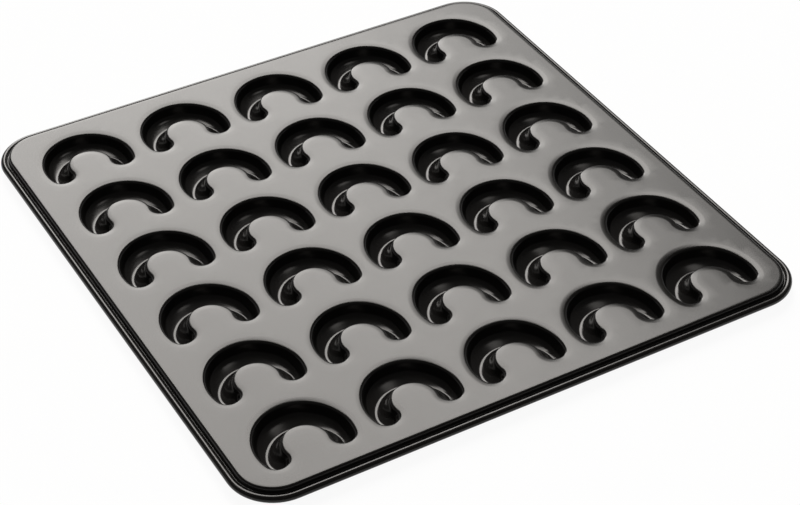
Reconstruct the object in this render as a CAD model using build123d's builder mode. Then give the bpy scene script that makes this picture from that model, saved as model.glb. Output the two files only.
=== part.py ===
from build123d import *
import os
from math import asin, atan2, cos, degrees, hypot, radians, sin

os.makedirs("parts", exist_ok=True)

# A crescent cookie tray: one pressed steel sheet with a flat panel, thirty crescent cups
# hanging from it, and an edge that steps down and rolls round a wire.
# Frame: X runs along the five columns, Y runs along the six rows towards the back, Z is up.
# The origin is the middle of the tray on the surface it stands on.
# The sheet is divided into one node for each cup with the flat land round it, four straight
# rim lengths and four rim corners. Neighbours meet face to face.

# Driving dimensions in millimetres and degrees
sheet = 0.6
panel_x = 360.0
panel_y = 365.5
panel_corner_radius = 23.5

columns = 5
rows = 6
pitch_x = 68.0
pitch_y = 58.5
grid_shift_y = 1.25

# Cup outline at the panel, in the cup's own frame: its horns point towards the front
crown_radius = 28.0
crown_centre_y = -6.8
crown_half_angle = 53.4
flank_radius = 32.6
flank_end_angle = -15.2
horn_radius = 7.75
notch_centre_y = -11.65

# Cup wall
cup_depth = 9.8
wall_angle = 75.0
lip_radius = 1.6
lip_outset = 1.15
trough_radius = 6.0

# Rim
edge_radius = 1.5
edge_land = 3.0
valley_radius = 0.8
bead_radius = 2.2
bead_out = 3.2
bead_drop = 4.4
curl_end_angle = 200.0
wire_clearance = 0.05

# Heights and half sizes that follow from them
panel_top = cup_depth + sheet
panel_under = panel_top - sheet
half_x = panel_x / 2
half_y = panel_y / 2
land_half_x = half_x - edge_land
land_half_y = half_y - edge_land
land_corner_radius = panel_corner_radius - edge_land
corner_x = half_x - panel_corner_radius
corner_y = half_y - panel_corner_radius
bead_z = panel_top - bead_drop
bead_half_x = half_x + bead_out
bead_half_y = half_y + bead_out
bead_corner_radius = panel_corner_radius + bead_out
wire_radius = bead_radius - sheet - wire_clearance

# Cup outline points that follow from the driving dimensions. The arcs are all tangent.
crown_end_angle = 90.0 - crown_half_angle
flank_offset = flank_radius - crown_radius
flank_x = -flank_offset * cos(radians(crown_end_angle))
flank_y = crown_centre_y - flank_offset * sin(radians(crown_end_angle))
horn_x = flank_x + (flank_radius - horn_radius) * cos(radians(flank_end_angle))
horn_y = flank_y + (flank_radius - horn_radius) * sin(radians(flank_end_angle))
notch_radius = hypot(horn_x, horn_y - notch_centre_y) - horn_radius
notch_end_angle = degrees(atan2(horn_y - notch_centre_y, horn_x))
horn_start_angle = notch_end_angle - 180.0

# Each arc is its centre, radius, start angle, turn, and 1 or -1 as the trough lies outside
# or inside its circle.
outline_arcs = [
    ((0.0, crown_centre_y), crown_radius, crown_end_angle, 2 * crown_half_angle, -1),
    ((flank_x, flank_y), flank_radius, flank_end_angle, crown_end_angle - flank_end_angle, -1),
    ((-flank_x, flank_y), flank_radius, 180.0 - crown_end_angle, crown_end_angle - flank_end_angle, -1),
    ((horn_x, horn_y), horn_radius, horn_start_angle, flank_end_angle - horn_start_angle, -1),
    ((-horn_x, horn_y), horn_radius, 180.0 - flank_end_angle, flank_end_angle - horn_start_angle, -1),
    ((0.0, notch_centre_y), notch_radius, notch_end_angle, 180.0 - 2 * notch_end_angle, 1),
]

# Wall section sizes
lip_drop = lip_radius * (1 - cos(radians(wall_angle)))
trough_rise = trough_radius * (1 - cos(radians(wall_angle)))
wall_length = (cup_depth - lip_drop - trough_rise) / sin(radians(wall_angle))
wall_reach = (lip_radius + trough_radius) * sin(radians(wall_angle)) + wall_length * cos(radians(wall_angle))
floor_inset = wall_reach - lip_outset

# Where the valley between the panel edge and the bead is tangent to both
valley_out = bead_out - valley_radius
valley_tilt = degrees(asin(valley_out / (valley_radius + bead_radius)))
valley_drop = bead_drop - (valley_radius + bead_radius) * cos(radians(valley_tilt))
valley_turn = 90.0 + valley_tilt
curl_turn = 360.0 - curl_end_angle + valley_turn


def outline_edges(inset):
    """Draws the cup's outline, moved inwards by inset."""
    for centre, radius, start, turn, side in outline_arcs:
        CenterArc(centre, radius + side * inset, start, turn)


def wall_edges(lip_x, side):
    """Draws the sheet's section from the lip at lip_x down to the trough floor, towards side."""
    upper_lip = JernArc((lip_x, panel_top), (side, 0), lip_radius, -side * wall_angle)
    upper_wall = Line(upper_lip @ 1, upper_lip @ 1 + wall_length * (upper_lip % 1))
    upper_floor = JernArc(upper_wall @ 1, upper_wall % 1, trough_radius, side * wall_angle)
    under_lip = JernArc((lip_x, panel_under), (side, 0), lip_radius - sheet, -side * wall_angle)
    under_wall = Line(under_lip @ 1, under_lip @ 1 + wall_length * (under_lip % 1))
    under_floor = JernArc(under_wall @ 1, under_wall % 1, trough_radius + sheet, side * wall_angle)
    Line(upper_lip @ 0, under_lip @ 0)
    Line(upper_floor @ 1, under_floor @ 1)


def rim_edges(edge_x):
    """Draws the sheet's section from the panel's land, over its edge at edge_x and round the wire."""
    bead_centre = (edge_x + bead_out, bead_z)
    upper_land = Line((edge_x - edge_land, panel_top), (edge_x - edge_radius, panel_top))
    upper_edge = JernArc(upper_land @ 1, (1, 0), edge_radius, -90)
    upper_wall = Line(upper_edge @ 1, (edge_x, panel_top - valley_drop))
    upper_valley = JernArc(upper_wall @ 1, (0, -1), valley_radius, valley_turn)
    upper_curl = CenterArc(bead_centre, bead_radius, valley_turn, -curl_turn)
    under_land = Line((edge_x - edge_land, panel_under), (edge_x - edge_radius, panel_under))
    under_edge = JernArc(under_land @ 1, (1, 0), edge_radius - sheet, -90)
    under_wall = Line(under_edge @ 1, (edge_x - sheet, panel_top - valley_drop))
    under_valley = JernArc(under_wall @ 1, (0, -1), valley_radius + sheet, valley_turn)
    under_curl = CenterArc(bead_centre, bead_radius - sheet, valley_turn, -curl_turn)
    Line(upper_land @ 0, under_land @ 0)
    Line(upper_curl @ 1, under_curl @ 1)


def upright_plane(x, y, angle):
    """An upright plane through (x, y): its own x runs outwards at angle and its own y is up."""
    outwards = Vector(cos(radians(angle)), sin(radians(angle)), 0)
    return Plane(origin=(x, y, 0), x_dir=outwards, z_dir=outwards.cross(Vector(0, 0, 1)))


# Cup wall and trough floor, in the cup's own frame
with BuildPart() as cup_shell:
    for centre, radius, start, turn, side in outline_arcs:
        with BuildSketch(upright_plane(*centre, start)):
            with BuildLine():
                wall_edges(radius - side * lip_outset, side)
            make_face()
        revolve(axis=Axis((*centre, 0), (0, 0, 1)), revolution_arc=turn)
    with BuildSketch(Plane.XY):
        with BuildLine():
            outline_edges(floor_inset)
        make_face()
    extrude(amount=sheet)

# The hole in the panel that a cup fills
with BuildSketch() as cup_mouth:
    with BuildLine():
        outline_edges(-lip_outset)
    make_face()

# The flat part of the panel, inside the rim
with BuildSketch() as panel_land:
    RectangleRounded(2 * land_half_x, 2 * land_half_y, land_corner_radius)

# Cups with the land round them: row 1 is at the back and column 1 on the left
for row in range(rows):
    for column in range(columns):
        cup_x = (column - (columns - 1) / 2) * pitch_x
        cup_y = ((rows - 1) / 2 - row) * pitch_y + grid_shift_y
        left = -half_x if column == 0 else cup_x - pitch_x / 2
        right = half_x if column == columns - 1 else cup_x + pitch_x / 2
        front = -half_y if row == rows - 1 else cup_y - pitch_y / 2
        back = half_y if row == 0 else cup_y + pitch_y / 2
        with BuildPart() as crescent_cup:
            with BuildSketch(Plane.XY.offset(panel_under)):
                with Locations(((left + right) / 2, (front + back) / 2)):
                    Rectangle(right - left, back - front)
                add(panel_land.sketch, mode=Mode.INTERSECT)
                with Locations((cup_x, cup_y)):
                    add(cup_mouth.sketch, mode=Mode.SUBTRACT)
            extrude(amount=sheet)
            with Locations((cup_x, cup_y)):
                add(cup_shell.part)
        crescent_cup.part.label = f"crescent_cup_r{row + 1}_c{column + 1}"
        export_step(crescent_cup.part, f"parts/{crescent_cup.part.label}.step")

# Straight rim lengths: outward angle, distance out to the panel edge and half length
rim_sides = {
    "rim_right": (0, half_x, corner_y),
    "rim_back": (90, half_y, corner_x),
    "rim_left": (180, half_x, corner_y),
    "rim_front": (270, half_y, corner_x),
}
for name, (angle, edge, half_length) in rim_sides.items():
    with BuildPart() as rim_side:
        with BuildSketch(upright_plane(0, 0, angle)):
            with BuildLine():
                rim_edges(edge)
            make_face()
        extrude(amount=half_length, both=True)
    rim_side.part.label = name
    export_step(rim_side.part, f"parts/{name}.step")

# Rim corners: signs of the corner's place and the angle that its turn starts from
rim_corners = {
    "rim_corner_back_right": (1, 1, 0),
    "rim_corner_back_left": (-1, 1, 90),
    "rim_corner_front_left": (-1, -1, 180),
    "rim_corner_front_right": (1, -1, 270),
}
for name, (sign_x, sign_y, start) in rim_corners.items():
    centre_x = sign_x * corner_x
    centre_y = sign_y * corner_y
    with BuildPart() as rim_corner:
        with BuildSketch(upright_plane(centre_x, centre_y, start)):
            with BuildLine():
                rim_edges(panel_corner_radius)
            make_face()
        revolve(axis=Axis((centre_x, centre_y, 0), (0, 0, 1)), revolution_arc=90)
    rim_corner.part.label = name
    export_step(rim_corner.part, f"parts/{name}.step")

# The wire inside the rolled edge, one closed ring
with BuildPart() as rim_wire:
    with BuildLine(Plane.XY.offset(bead_z)) as wire_path:
        FilletPolyline(
            (bead_half_x, -bead_half_y),
            (bead_half_x, bead_half_y),
            (-bead_half_x, bead_half_y),
            (-bead_half_x, -bead_half_y),
            close=True,
            radius=bead_corner_radius,
        )
    with BuildSketch(Plane(origin=wire_path.line @ 0, z_dir=wire_path.line % 0)):
        Circle(wire_radius)
    sweep(path=wire_path.line)
rim_wire.part.label = "rim_wire"
export_step(rim_wire.part, "parts/rim_wire.step")
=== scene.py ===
import math

import bpy
import numpy as np
from mathutils import Matrix, Vector
from mathutils.geometry import delaunay_2d_cdt


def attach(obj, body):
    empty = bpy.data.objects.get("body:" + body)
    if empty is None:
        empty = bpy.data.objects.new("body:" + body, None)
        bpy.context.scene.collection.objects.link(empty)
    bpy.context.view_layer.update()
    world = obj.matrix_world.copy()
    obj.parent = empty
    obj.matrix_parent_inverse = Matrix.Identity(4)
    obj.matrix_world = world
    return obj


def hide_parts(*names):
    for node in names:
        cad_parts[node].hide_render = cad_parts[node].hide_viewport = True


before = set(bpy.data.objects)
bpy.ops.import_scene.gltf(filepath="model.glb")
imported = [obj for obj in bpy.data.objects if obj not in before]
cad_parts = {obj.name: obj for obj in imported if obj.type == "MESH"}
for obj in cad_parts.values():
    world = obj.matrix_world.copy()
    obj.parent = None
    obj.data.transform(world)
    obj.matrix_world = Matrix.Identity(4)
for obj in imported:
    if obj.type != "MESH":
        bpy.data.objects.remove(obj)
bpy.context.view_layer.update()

MM = 0.001

# Sizes of the tray, in millimetres, the same as the CAD model's
SHEET = 0.6
CUP_DEPTH = 9.8
PANEL_TOP = CUP_DEPTH + SHEET
PANEL_HALF = (180.0, 182.75)
CORNER_RADIUS = 23.5
COLUMNS = 5
ROWS = 6
PITCH = (68.0, 58.5)
GRID_SHIFT_Y = 1.25

# Cup outline at the panel
CROWN_RADIUS = 28.0
CROWN_Y = -6.8
CROWN_HALF_ANGLE = 53.4
FLANK_RADIUS = 32.6
FLANK_END_ANGLE = -15.2
HORN_RADIUS = 7.75
NOTCH_Y = -11.65

# The panel sinks gently towards each cup, in a halo that ends where the lip's curve starts.
# Both places are measured inwards from the cup's outline.
HALO_START = -3.55
HALO_DEPTH = 0.27
HALO_POWER = 1.3
LIP_START = -0.45
LIP_RADIUS = 2.0

# The trough's section on its outer and inner side: the wall's angle, the share of the depth
# that the wall reaches, how far the curve below it runs on along the wall and along the floor,
# and the floor's slope
WALL_ANGLE = (75.0, 72.0)
WALL_SHARE = (0.64, 0.4)
WALL_RUN = (0.5, 0.55)
FLOOR_RUN = (0.34, 0.26)
FLOOR_SLOPE = (14.5, 16.0)
FLOOR_RADIUS = 3.6

# The trough rises towards its horns, from this share of the way from its middle
RISE_START = 0.72
RISE = 1.2

# How far the floor's lowest line lies from the middle of the trough: inwards at the crown and
# outwards on the flanks. The shift on the flanks follows spread**2 * (1 - spread), which the
# factor brings to a peak of one.
CROWN_SHIFT = 1.4
FLANK_SHIFT = 0.9
BUMP_FACTOR = 27 / 4

# Rim section
EDGE_LAND = 3.0
EDGE_RADIUS = 1.5
VALLEY_RADIUS = 0.8
BEAD_RADIUS = 2.2
BEAD_OUT = 3.2
BEAD_DROP = 4.4
CURL_END_ANGLE = 200.0

# Mesh density
SPAN_STEPS = 48
HORN_STEPS = 14
HALO_STEPS = 6
LIP_STEPS = 7
WALL_STEPS = 2
FLOOR_STEPS = 14
BOTTOM_STEPS = 4
CORNER_STEPS = 16
EDGE_STEPS = 6
VALLEY_STEPS = 8
CURL_STEPS = 30

# Grid points in the flat panel: their spacing, and how far they stand from the panel's edge,
# from its corners' land and from the halos. Points nearer than the weld distance are one.
PANEL_GRID = 6.0
EDGE_MARGIN = 5.0
CORNER_MARGIN = 2.0
HALO_MARGIN = 1.5
WELD = 1e-5

# The half width of the trough is found between nothing and this width, by so many halvings
WIDEST_GUESS = 20.0
HALVINGS = 40

# Textures: scale in features per metre, and detail
CLOUD = (18.0, 4.0)
SMEAR = (60.0, 5.0)
GRAIN = (1400.0, 3.0)
WIRE_MARKS = (300.0, 4.0)
TEXTURE_RANGE = (0.3, 0.7)

# Dark coating
COATING_COLOURS = ((0.0095, 0.009, 0.0085, 1.0), (0.0125, 0.0115, 0.011, 1.0))
COATING_TINT = (1.0, 0.975, 0.955, 1.0)
COATING_IOR = 1.35
COATING_ROUGHNESS = (0.13, 0.17)
GRAIN_STRENGTH = 0.15
GRAIN_HEIGHT = 0.00006

# Wire
WIRE_COLOURS = ((0.42, 0.42, 0.42, 1.0), (0.55, 0.55, 0.56, 1.0))
WIRE_ROUGHNESS = (0.3, 0.42)

# Floor. Rays that see the background see mostly white in place of its paint.
FLOOR_HALF = 4.0
FLOOR_COLOUR = (0.85, 0.85, 0.85, 1.0)
FLOOR_ROUGHNESS = 0.9
FLOOR_WHITE = 1.04
FLOOR_WHITE_SHARE = 0.9

# The studio's light depends on the direction looked in. Away runs level from the camera over
# the tray, aside runs level to the camera's right, and a lower limit keeps aside / away finite.
WHITE = (1.0, 1.0, 1.0, 1.0)
LIGHT_COLOUR = (1.0, 0.98, 0.95, 1.0)
AWAY = (0.497, 0.868, 0.0)
ASIDE = (0.868, -0.497, 0.0)
UP = (0.0, 0.0, 1.0)
LEAST_AWAY = 0.01
BEHIND = (0.02, 0.1)
BACKDROP_TOP = (0.05, 0.2)
FILL = 0.1

# Each soft light behind the tray has a strength and edges. An edge is what it's measured by,
# the two limits between which it eases, and whether the light rises or falls there.
RISES = (0.0, 1.0)
FALLS = (1.0, 0.0)
LIGHTS = (
    (9.6, (
        ("slant", -0.62, -0.33, FALLS),
        ("turn", -0.49, -0.29, RISES),
        ("turn", 0.2, 0.32, FALLS),
        ("up", 0.79, 0.83, FALLS),
        ("up", 0.05, 0.2, RISES),
    )),
    (8.0, (
        ("turn", -0.25, 0.05, FALLS),
        ("turn", -1.1, -0.75, RISES),
        ("up", 0.815, 0.84, RISES),
        ("up", 0.89, 0.93, FALLS),
    )),
    (2.2, (
        ("turn", 0.4, 0.55, RISES),
        ("turn", 0.75, 1.0, FALLS),
        ("up", 0.83, 0.86, RISES),
        ("up", 0.9, 0.93, FALLS),
    )),
)

# Camera: its lens in millimetres, its place in metres from the middle of the panel's top, and
# the directions of the picture's right and up
SENSOR_WIDTH = 36.0
LENS = 94.92
CAMERA_REACH = 20.0
CAMERA_PLACE = (-0.50072, -0.89710, 0.79531)
CAMERA_RIGHT = Vector((0.86680725, -0.49863468, -0.00294029))
CAMERA_UP = Vector((0.31505325, 0.54308684, 0.77833035))


# Tray
def polar(angle):
    """Unit vector at an angle in degrees."""
    return np.array([math.cos(math.radians(angle)), math.sin(math.radians(angle))])


def cup_outline():
    """The cup's outline as a closed ring. Each point has its outward normal, the index of the
    point of the trough's middle line that it faces, its share of the inner side's section, and
    how far it looks along the trough towards the horn's tip. The middle line comes last."""
    crown_end = 90.0 - CROWN_HALF_ANGLE
    crown = np.array([0.0, CROWN_Y])
    flank = crown - (FLANK_RADIUS - CROWN_RADIUS) * polar(crown_end)
    horn = flank + (FLANK_RADIUS - HORN_RADIUS) * polar(FLANK_END_ANGLE)
    notch = np.array([0.0, NOTCH_Y])
    notch_radius = np.linalg.norm(horn - notch) - HORN_RADIUS
    notch_end = math.degrees(math.atan2(horn[1] - NOTCH_Y, horn[0]))
    mirror = np.array([-1.0, 1.0])

    def outer_arc(side, middle):
        """The crown or flank arc that a point of the middle line on this side faces."""
        from_crown = middle - crown
        if math.degrees(math.atan2(from_crown[1], abs(from_crown[0]))) >= crown_end:
            return crown, CROWN_RADIUS
        return (flank if side > 0 else flank * mirror), FLANK_RADIUS

    outer, inner, middles = [], [], []
    for angle in np.linspace(notch_end, 180.0 - notch_end, SPAN_STEPS + 1):
        direction = polar(angle)
        side = 1 if direction[0] >= 0 else -1
        low, high = 0.0, WIDEST_GUESS
        for _ in range(HALVINGS):
            width = (low + high) / 2
            middle = notch + (notch_radius + width) * direction
            centre, radius = outer_arc(side, middle)
            if radius - np.linalg.norm(middle - centre) > width:
                low = width
            else:
                high = width
        spread = ((angle - 90.0) / (90.0 - notch_end)) ** 2
        crown_part = CROWN_SHIFT * (1.0 - spread) ** 3
        flank_part = FLANK_SHIFT * BUMP_FACTOR * spread**2 * (1.0 - spread)
        middle = middle - (crown_part - flank_part) * direction
        centre, radius = outer_arc(side, middle)
        outwards = (middle - centre) / np.linalg.norm(middle - centre)
        index = len(middles)
        middles.append(middle)
        outer.append((centre + radius * outwards, outwards, index, 0.0, 0.0))
        inner.append((notch + notch_radius * direction, -direction, index, 1.0, 0.0))

    def horn_arc(side, index):
        """Points between the two ends of a horn's round tip, from its outer side."""
        sign = np.array([side, 1.0])
        centre = horn * sign
        end = math.radians(notch_end)
        tip = np.array([math.sin(end), -math.cos(end)]) * sign
        points = []
        for t in np.linspace(0.0, 1.0, HORN_STEPS + 1)[1:-1]:
            angle = FLANK_END_ANGLE + t * (notch_end - 180.0 - FLANK_END_ANGLE)
            normal = polar(angle) * sign
            along = max(0.0, normal @ tip)
            points.append((centre + HORN_RADIUS * normal, normal, index, t, along))
        return points

    ring = outer + horn_arc(-1.0, SPAN_STEPS) + inner[::-1] + horn_arc(1.0, 0)[::-1]
    columns = [np.array(column) for column in zip(*ring)]
    return *columns, np.array(middles)


def bezier(p0, p1, p2, p3, steps):
    """Points after p0 along a cubic curve."""
    t = np.linspace(0.0, 1.0, steps + 1)[1:, None]
    return (1 - t) ** 3 * p0 + 3 * (1 - t) ** 2 * t * p1 + 3 * (1 - t) * t**2 * p2 + t**3 * p3


def trough_depths(count):
    """Depth of the trough at each point of its middle line."""
    from_middle = np.abs(np.linspace(-1.0, 1.0, count))
    share = np.clip((from_middle - RISE_START) / (1.0 - RISE_START), 0.0, None)
    return CUP_DEPTH - RISE * share**2


def end_slope(middles):
    """Slope of the trough's middle line at its two ends."""
    half_length = np.linalg.norm(np.diff(middles, axis=0), axis=1).sum() / 2
    return 2 * RISE / ((1.0 - RISE_START) * half_length)


def between(sides, inner_share):
    """A value of the trough's section between its outer and its inner side."""
    outer, inner = sides
    return outer + inner_share * (inner - outer)


def wall_section(width, depth, inner_share, rise):
    """Section across a cup wall as (distance in from the outline, height above the panel)."""
    halo = [
        (HALO_START + t * (LIP_START - HALO_START), -HALO_DEPTH * t**HALO_POWER)
        for t in np.linspace(0.0, 1.0, HALO_STEPS + 1)
    ]
    lip_tilt = math.atan(HALO_POWER * HALO_DEPTH / (LIP_START - HALO_START))
    wall_tilt = math.radians(between(WALL_ANGLE, inner_share))
    lip = []
    for tilt in np.linspace(lip_tilt, wall_tilt, LIP_STEPS + 1)[1:]:
        across = LIP_START + LIP_RADIUS * (math.sin(tilt) - math.sin(lip_tilt))
        down = HALO_DEPTH + LIP_RADIUS * (math.cos(lip_tilt) - math.cos(tilt))
        lip.append((across, -down))
    lip_in, lip_down = lip[-1]
    wall_drop = between(WALL_SHARE, inner_share) * depth + lip_down
    wall = []
    for t in np.linspace(0.0, 1.0, WALL_STEPS + 1)[1:]:
        down = t * wall_drop
        wall.append((lip_in + down / math.tan(wall_tilt), lip_down - down))
    start = np.array(wall[-1])
    slope = between(FLOOR_SLOPE, inner_share)
    floor = []
    for tilt in np.radians(np.linspace(slope, 0.0, BOTTOM_STEPS + 1)):
        back = FLOOR_RADIUS * math.sin(tilt)
        floor.append((width - back, rise * back + FLOOR_RADIUS * (1 - math.cos(tilt)) - depth))
    end = np.array(floor[0])
    run = between(WALL_RUN, inner_share) * (depth + start[1])
    first = start + run * np.array([math.cos(wall_tilt), -math.sin(wall_tilt)])
    floor_run = between(FLOOR_RUN, inner_share) * width
    second = end + floor_run * np.array([-1.0, rise + math.tan(math.radians(slope))])
    return np.vstack([halo, lip, wall, bezier(start, first, second, end, FLOOR_STEPS), floor[1:]])


def rounded_ring(outset):
    """Ring of points round the panel, outset from its edge, anticlockwise."""
    radius = CORNER_RADIUS + outset
    corner = np.array(PANEL_HALF) - CORNER_RADIUS
    ring = []
    for quarter, signs in enumerate(((1, 1), (-1, 1), (-1, -1), (1, -1))):
        for t in np.linspace(0.0, 1.0, CORNER_STEPS + 1):
            ring.append(corner * signs + radius * polar(90.0 * (quarter + t)))
    return np.array(ring)


def rim_section():
    """Section of the rim as (distance out from the panel edge, height above the panel)."""
    tilt = math.asin((BEAD_OUT - VALLEY_RADIUS) / (VALLEY_RADIUS + BEAD_RADIUS))
    valley_drop = BEAD_DROP - (VALLEY_RADIUS + BEAD_RADIUS) * math.cos(tilt)
    valley_turn = 90.0 + math.degrees(tilt)
    section = []
    for angle in np.linspace(90.0, 0.0, EDGE_STEPS + 1):
        section.append(np.array([-EDGE_RADIUS, -EDGE_RADIUS]) + EDGE_RADIUS * polar(angle))
    for angle in np.linspace(180.0, 180.0 + valley_turn, VALLEY_STEPS + 1):
        section.append(np.array([VALLEY_RADIUS, -valley_drop]) + VALLEY_RADIUS * polar(angle))
    for angle in np.linspace(valley_turn, CURL_END_ANGLE - 360.0, CURL_STEPS + 1)[1:]:
        section.append(np.array([BEAD_OUT, -BEAD_DROP]) + BEAD_RADIUS * polar(angle))
    return section


class Surface:
    """Collects points in millimetres and faces."""

    def __init__(self):
        self.points = []
        self.faces = []
        self.count = 0

    def add(self, points):
        """Adds an array of points and returns their indices."""
        start = self.count
        self.points.append(points)
        self.count += len(points)
        return np.arange(start, self.count)

    def add_ring(self, flat, height):
        """Adds a ring of flat points at a height, one for all or one for each."""
        return self.add(np.column_stack([flat, np.broadcast_to(height, len(flat))]))

    def bridge(self, first, second):
        """Joins two closed rings of indices, leaving out corners that coincide."""
        for a, b, c, d in zip(first, np.roll(first, -1), np.roll(second, -1), second):
            corners = [a, b, c] if c == d else [a, b, c, d]
            self.faces.append([int(i) for i in corners])

    def object(self, name):
        """Makes the mesh object, in metres."""
        mesh = bpy.data.meshes.new(name)
        mesh.from_pydata((np.vstack(self.points) * MM).tolist(), [], self.faces)
        mesh.validate()
        mesh.shade_smooth()
        obj = bpy.data.objects.new(name, mesh)
        bpy.context.scene.collection.objects.link(obj)
        return obj


def add_cup(surface, centre):
    """Adds one cup from its halo to the trough floor and returns its outermost ring."""
    points, normals, facing, inner_shares, along, middles = cup_outline()
    widths = np.linalg.norm(middles[facing] - points, axis=1)
    depths = trough_depths(len(middles))
    slope = end_slope(middles)
    sections = np.array([
        wall_section(widths[i], depths[facing[i]], inner_shares[i], slope * along[i])
        for i in range(len(points))
    ])
    floor = surface.add_ring(middles + centre, PANEL_TOP - depths)
    rings = []
    for step in range(sections.shape[1] - 1):
        flat = points - normals * sections[:, step, :1] + centre
        rings.append(surface.add_ring(flat, PANEL_TOP + sections[:, step, 1]))
    rings.append(floor[facing])
    for first, second in zip(rings, rings[1:]):
        surface.bridge(first, second)
    return rings[0]


def add_rim(surface):
    """Adds the rim from the panel's land to the end of the curl and returns its innermost ring."""
    rings = [surface.add_ring(rounded_ring(-EDGE_LAND), PANEL_TOP)]
    for outset, height in rim_section():
        rings.append(surface.add_ring(rounded_ring(outset), PANEL_TOP + height))
    for first, second in zip(rings, rings[1:]):
        surface.bridge(second, first)
    return rings[0]


def add_panel(surface, cup_rings, rim_ring, centres):
    """Fills the flat panel between the cups' halos and the rim."""
    known = np.vstack(surface.points)
    border = [rim_ring] + cup_rings
    flat = [known[ring][:, :2] for ring in border]
    edges = []
    start = 0
    for ring in flat:
        edges += [(start + i, start + (i + 1) % len(ring)) for i in range(len(ring))]
        start += len(ring)
    index = np.concatenate(border)
    halo = flat[1] - centres[0]
    xs, ys = [np.arange(PANEL_GRID - half, half - EDGE_MARGIN, PANEL_GRID) for half in PANEL_HALF]
    inner = [np.array([x, y]) for x in xs for y in ys if free_of_borders(x, y, centres, halo)]
    coords = [Vector(p) for p in np.vstack(flat + [np.array(inner)])]
    verts, _, faces, origins, _, _ = delaunay_2d_cdt(coords, edges, [], 1, WELD)
    extra = {}
    lookup = {}
    for i, origin in enumerate(origins):
        known_origin = [o for o in origin if o < len(index)]
        if known_origin:
            lookup[i] = int(index[known_origin[0]])
        else:
            extra[i] = verts[i]
    added = surface.add_ring(np.array([[v.x, v.y] for v in extra.values()]), PANEL_TOP)
    lookup.update({i: int(a) for i, a in zip(extra, added)})
    for face in faces:
        middle = sum((verts[i] for i in face), Vector((0, 0))) / len(face)
        if not inside_ring(cell_place(middle.x, middle.y, centres), halo):
            surface.faces.append([lookup[i] for i in face])


def cell_place(x, y, centres):
    """A point in the frame of the nearest cup."""
    away = centres - np.array([x, y])
    nearest = np.argmin((away**2).sum(axis=1))
    return -away[nearest]


def inside_ring(point, ring):
    """Whether a point lies inside a closed ring."""
    x, y = point
    ax, ay = ring[:, 0], ring[:, 1]
    bx, by = np.roll(ax, -1), np.roll(ay, -1)
    crosses = (ay > y) != (by > y)
    at = ax + (y - ay) * (bx - ax) / np.where(by == ay, 1.0, by - ay)
    return bool(np.count_nonzero(crosses & (x < at)) % 2)


def free_of_borders(x, y, centres, halo):
    """Whether a grid point of the panel stands clear of every border ring."""
    past = np.abs([x, y]) - (np.array(PANEL_HALF) - CORNER_RADIUS)
    reach = CORNER_RADIUS - EDGE_LAND - CORNER_MARGIN
    if (past > 0).all() and np.linalg.norm(past) > reach:
        return False
    place = cell_place(x, y, centres)
    if inside_ring(place, halo):
        return False
    return np.min(np.linalg.norm(halo - place, axis=1)) > HALO_MARGIN


def tray_sheet():
    """The whole pressed sheet as one seamless piece."""
    surface = Surface()
    centres = np.array([
        ((column - (COLUMNS - 1) / 2) * PITCH[0], ((ROWS - 1) / 2 - row) * PITCH[1] + GRID_SHIFT_Y)
        for row in range(ROWS)
        for column in range(COLUMNS)
    ])
    cup_rings = [add_cup(surface, centre) for centre in centres]
    rim_ring = add_rim(surface)
    add_panel(surface, cup_rings, rim_ring, centres)
    sheet = surface.object("pressed_sheet")
    thickness = sheet.modifiers.new("sheet thickness", "SOLIDIFY")
    thickness.thickness = SHEET * MM
    thickness.offset = -1.0
    thickness.use_even_offset = True
    return sheet


# Materials
def new_material(name):
    """A new node material, its node tree and its shader."""
    material = bpy.data.materials.new(name)
    material.use_nodes = True
    tree = material.node_tree
    shader = tree.nodes["Principled BSDF"]
    return material, tree, shader


def noise(tree, coords, scale, detail):
    """A noise texture in object space."""
    node = tree.nodes.new("ShaderNodeTexNoise")
    node.inputs["Scale"].default_value = scale
    node.inputs["Detail"].default_value = detail
    tree.links.new(coords.outputs["Object"], node.inputs["Vector"])
    return node.outputs["Fac"]


def vary_colour(tree, shader, texture, colours):
    """Colours the shader between two colours, by a texture."""
    node = tree.nodes.new("ShaderNodeMix")
    node.data_type = "RGBA"
    node.inputs["A"].default_value, node.inputs["B"].default_value = colours
    tree.links.new(texture, node.inputs["Factor"])
    tree.links.new(node.outputs["Result"], shader.inputs["Base Color"])


def vary_roughness(tree, shader, texture, limits):
    """Makes the shader's roughness run between two limits, by a texture."""
    node = tree.nodes.new("ShaderNodeMapRange")
    for socket, value in enumerate((*TEXTURE_RANGE, *limits), 1):
        node.inputs[socket].default_value = value
    tree.links.new(texture, node.inputs["Value"])
    tree.links.new(node.outputs["Result"], shader.inputs["Roughness"])


def coating_material():
    """Dark satin non-stick coating on pressed steel."""
    material, tree, shader = new_material("coated_steel")
    coords = tree.nodes.new("ShaderNodeTexCoord")
    shader.inputs["IOR"].default_value = COATING_IOR
    shader.inputs["Specular Tint"].default_value = COATING_TINT
    vary_colour(tree, shader, noise(tree, coords, *CLOUD), COATING_COLOURS)
    vary_roughness(tree, shader, noise(tree, coords, *SMEAR), COATING_ROUGHNESS)
    bump = tree.nodes.new("ShaderNodeBump")
    bump.inputs["Strength"].default_value = GRAIN_STRENGTH
    bump.inputs["Distance"].default_value = GRAIN_HEIGHT
    tree.links.new(noise(tree, coords, *GRAIN), bump.inputs["Height"])
    tree.links.new(bump.outputs["Normal"], shader.inputs["Normal"])
    return material


def wire_material():
    """Drawn steel wire."""
    material, tree, shader = new_material("wire_steel")
    coords = tree.nodes.new("ShaderNodeTexCoord")
    shader.inputs["Metallic"].default_value = 1.0
    marks = noise(tree, coords, *WIRE_MARKS)
    vary_colour(tree, shader, marks, WIRE_COLOURS)
    vary_roughness(tree, shader, marks, WIRE_ROUGHNESS)
    return material


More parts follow.
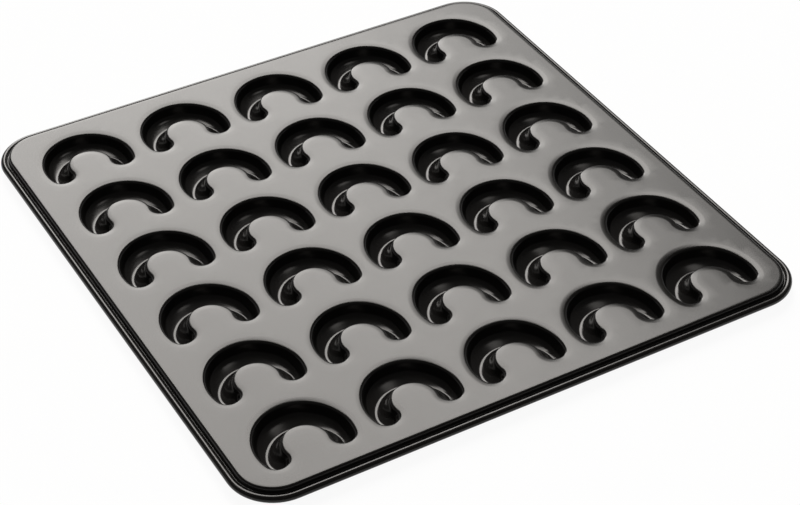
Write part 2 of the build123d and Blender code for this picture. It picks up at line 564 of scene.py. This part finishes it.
def combine(tree, operation, *values):
    """The result of a Math node on sockets and numbers."""
    node = tree.nodes.new("ShaderNodeMath")
    node.operation = operation
    for socket, value in enumerate(values):
        if isinstance(value, float):
            node.inputs[socket].default_value = value
        else:
            tree.links.new(value, node.inputs[socket])
    return node.outputs["Value"]


def background_rays(tree):
    """One for the rays that see the background: camera, glossy and transmission rays."""
    path = tree.nodes.new("ShaderNodeLightPath")
    seen = path.outputs["Is Camera Ray"]
    for kind in ("Is Glossy Ray", "Is Transmission Ray"):
        seen = combine(tree, "MAXIMUM", seen, path.outputs[kind])
    return seen


def mix_shaders(tree, share, first, second, output):
    """Gives an output one shader, and a share of another over it."""
    mix = tree.nodes.new("ShaderNodeMixShader")
    for socket, source in enumerate((share, first, second)):
        tree.links.new(source, mix.inputs[socket])
    tree.links.new(mix.outputs["Shader"], output.inputs["Surface"])


def floor_material():
    """Plain pale floor that the camera sees nearly white, with the shadow kept."""
    material, tree, shader = new_material("pale_floor")
    shader.inputs["Base Color"].default_value = FLOOR_COLOUR
    shader.inputs["Roughness"].default_value = FLOOR_ROUGHNESS
    white = tree.nodes.new("ShaderNodeEmission")
    white.inputs["Color"].default_value = WHITE
    white.inputs["Strength"].default_value = FLOOR_WHITE
    share = combine(tree, "MULTIPLY", background_rays(tree), FLOOR_WHITE_SHARE)
    output = tree.nodes["Material Output"]
    mix_shaders(tree, share, shader.outputs["BSDF"], white.outputs["Emission"], output)
    return material


# Stage
def studio_world():
    """Soft studio surroundings: one strong light and two weaker ones behind the tray, dim
    elsewhere. The camera sees white all round, and reflections see it low behind the tray."""
    world = bpy.data.worlds.new("studio")
    bpy.context.scene.world = world
    world.use_nodes = True
    tree = world.node_tree
    background = tree.nodes["Background"]
    background.inputs["Color"].default_value = LIGHT_COLOUR
    coords = tree.nodes.new("ShaderNodeTexCoord")

    def along(axis):
        """How far the ray's direction runs along an axis."""
        node = tree.nodes.new("ShaderNodeVectorMath")
        node.operation = "DOT_PRODUCT"
        node.inputs[1].default_value = axis
        tree.links.new(coords.outputs["Generated"], node.inputs[0])
        return node.outputs["Value"]

    def ease(source, low, high, ends):
        """Eases from one end value to the other between two limits."""
        node = tree.nodes.new("ShaderNodeMapRange")
        node.interpolation_type = "SMOOTHSTEP"
        for socket, value in enumerate((low, high, *ends), 1):
            node.inputs[socket].default_value = value
        tree.links.new(source, node.inputs["Value"])
        return node.outputs["Result"]

    away = along(AWAY)
    aside = along(ASIDE)
    up = along(UP)
    behind = ease(away, *BEHIND, RISES)
    measures = {
        "slant": combine(tree, "SUBTRACT", aside, up),
        "turn": combine(tree, "DIVIDE", aside, combine(tree, "MAXIMUM", away, LEAST_AWAY)),
        "up": up,
    }

    def light(strength, edges):
        """A soft light: its strength in the middle, easing off at its edges."""
        for measure, low, high, ends in edges:
            edge = ease(measures[measure], low, high, ends)
            strength = combine(tree, "MULTIPLY", edge, strength)
        return combine(tree, "MULTIPLY", behind, strength)

    total = light(*LIGHTS[0])
    for strength, edges in LIGHTS[1:]:
        total = combine(tree, "ADD", total, light(strength, edges))
    total = combine(tree, "ADD", total, FILL)
    tree.links.new(total, background.inputs["Strength"])
    white = tree.nodes.new("ShaderNodeBackground")
    white.inputs["Color"].default_value = WHITE
    white.inputs["Strength"].default_value = 1.0
    path = tree.nodes.new("ShaderNodeLightPath")
    backdrop = combine(tree, "MULTIPLY", ease(up, *BACKDROP_TOP, FALLS), behind)
    place = combine(tree, "MAXIMUM", path.outputs["Is Camera Ray"], backdrop)
    share = combine(tree, "MULTIPLY", background_rays(tree), place)
    shades = background.outputs["Background"], white.outputs["Background"]
    mix_shaders(tree, share, *shades, tree.nodes["World Output"])


def floor():
    """A wide floor that the tray stands on."""
    signs = ((-1, -1), (1, -1), (1, 1), (-1, 1))
    corners = [(x * FLOOR_HALF, y * FLOOR_HALF, 0) for x, y in signs]
    mesh = bpy.data.meshes.new("floor")
    mesh.from_pydata(corners, [], [(0, 1, 2, 3)])
    mesh.materials.append(floor_material())
    obj = bpy.data.objects.new("floor", mesh)
    bpy.context.scene.collection.objects.link(obj)


def camera():
    """The photograph's view, worked out from the cups' regular grid."""
    data = bpy.data.cameras.new("camera")
    data.sensor_width = SENSOR_WIDTH
    data.lens = LENS
    data.clip_end = CAMERA_REACH
    obj = bpy.data.objects.new("camera", data)
    bpy.context.scene.collection.objects.link(obj)
    x, y, z = CAMERA_PLACE
    place = Vector((x, y, z + PANEL_TOP * MM))
    axes = (CAMERA_RIGHT, CAMERA_UP, CAMERA_RIGHT.cross(CAMERA_UP))
    obj.matrix_world = Matrix.Translation(place) @ Matrix(axes).transposed().to_4x4()
    bpy.context.scene.camera = obj


camera()
studio_world()
floor()
bpy.context.scene.view_settings.view_transform = "Standard"

sheet = tray_sheet()
sheet.data.materials.append(coating_material())
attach(sheet, "root")
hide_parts(*[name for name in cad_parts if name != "rim_wire"])

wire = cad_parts["rim_wire"]
wire.material_slots[0].material = wire_material()
